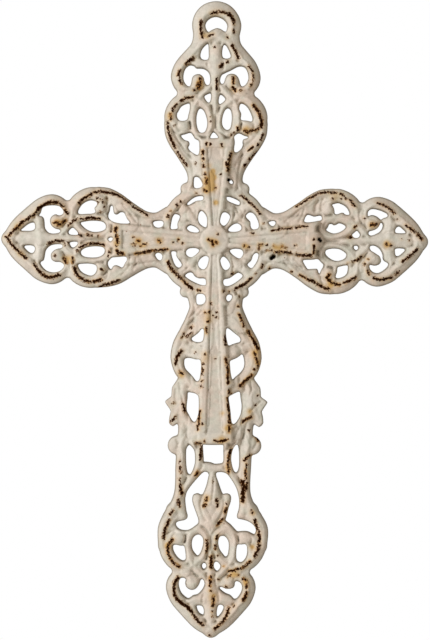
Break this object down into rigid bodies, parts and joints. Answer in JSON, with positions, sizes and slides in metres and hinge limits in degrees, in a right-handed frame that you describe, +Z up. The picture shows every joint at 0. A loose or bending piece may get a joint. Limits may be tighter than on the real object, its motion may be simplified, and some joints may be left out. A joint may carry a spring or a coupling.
{
  "type": "cast iron wall cross",
  "caption": "Openwork cast iron wall cross with a pierced wheel, a raised plain cross, scrolled pointed terminals and a loop at the top for hanging it on a nail.",
  "frame": {"origin": "on the flat back, at the middle of the hanging loop's crown", "axes": "+Z up the shaft, +X to the right as seen from the front, +Y out of the flat back towards the wall"},
  "size_m": [0.2352, 0.012, 0.3506],
  "materials": {
    "painted_iron": "worn cream paint over cast iron, rubbed to dark rusty metal along the crests"
  },
  "bodies": {
    "root": {"cast_cross": "painted_iron"}
  },
  "joints": []
}
